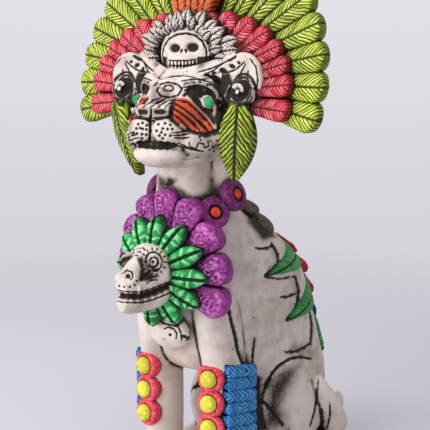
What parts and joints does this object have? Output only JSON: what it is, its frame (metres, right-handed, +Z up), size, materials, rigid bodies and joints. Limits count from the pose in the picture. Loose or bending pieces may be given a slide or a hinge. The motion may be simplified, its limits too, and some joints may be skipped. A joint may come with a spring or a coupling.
{
  "type": "clay feline figure",
  "caption": "Fired clay figure of a seated big cat in a tall feathered headdress, with a serpent head on its chest, a disc collar and feather bracelets, on a low base.",
  "frame": {"origin": "the middle of the base's flat underside, in the figure's own middle plane", "axes": "+Z up through the headdress, -Y the way the figure faces, +X towards the figure's own left"},
  "size_m": [0.202, 0.2115, 0.3729],
  "materials": {
    "pale_clay": "pale bisque clay with a dark brown wash left in the carving",
    "lime_paint": "yellow-green paint rubbed back over a dark wash",
    "red_paint": "coral to crimson paint rubbed back over a dark wash",
    "orange_paint": "orange paint over a dark wash",
    "purple_paint": "purple-magenta paint, worn pale on its edges",
    "green_paint": "emerald paint over a dark wash",
    "blue_paint": "bright blue paint over a dark wash",
    "pink_paint": "coral-pink paint",
    "yellow_paint": "yellow paint"
  },
  "bodies": {
    "root": {"clay_figure": "pale_clay"}
  },
  "joints": []
}
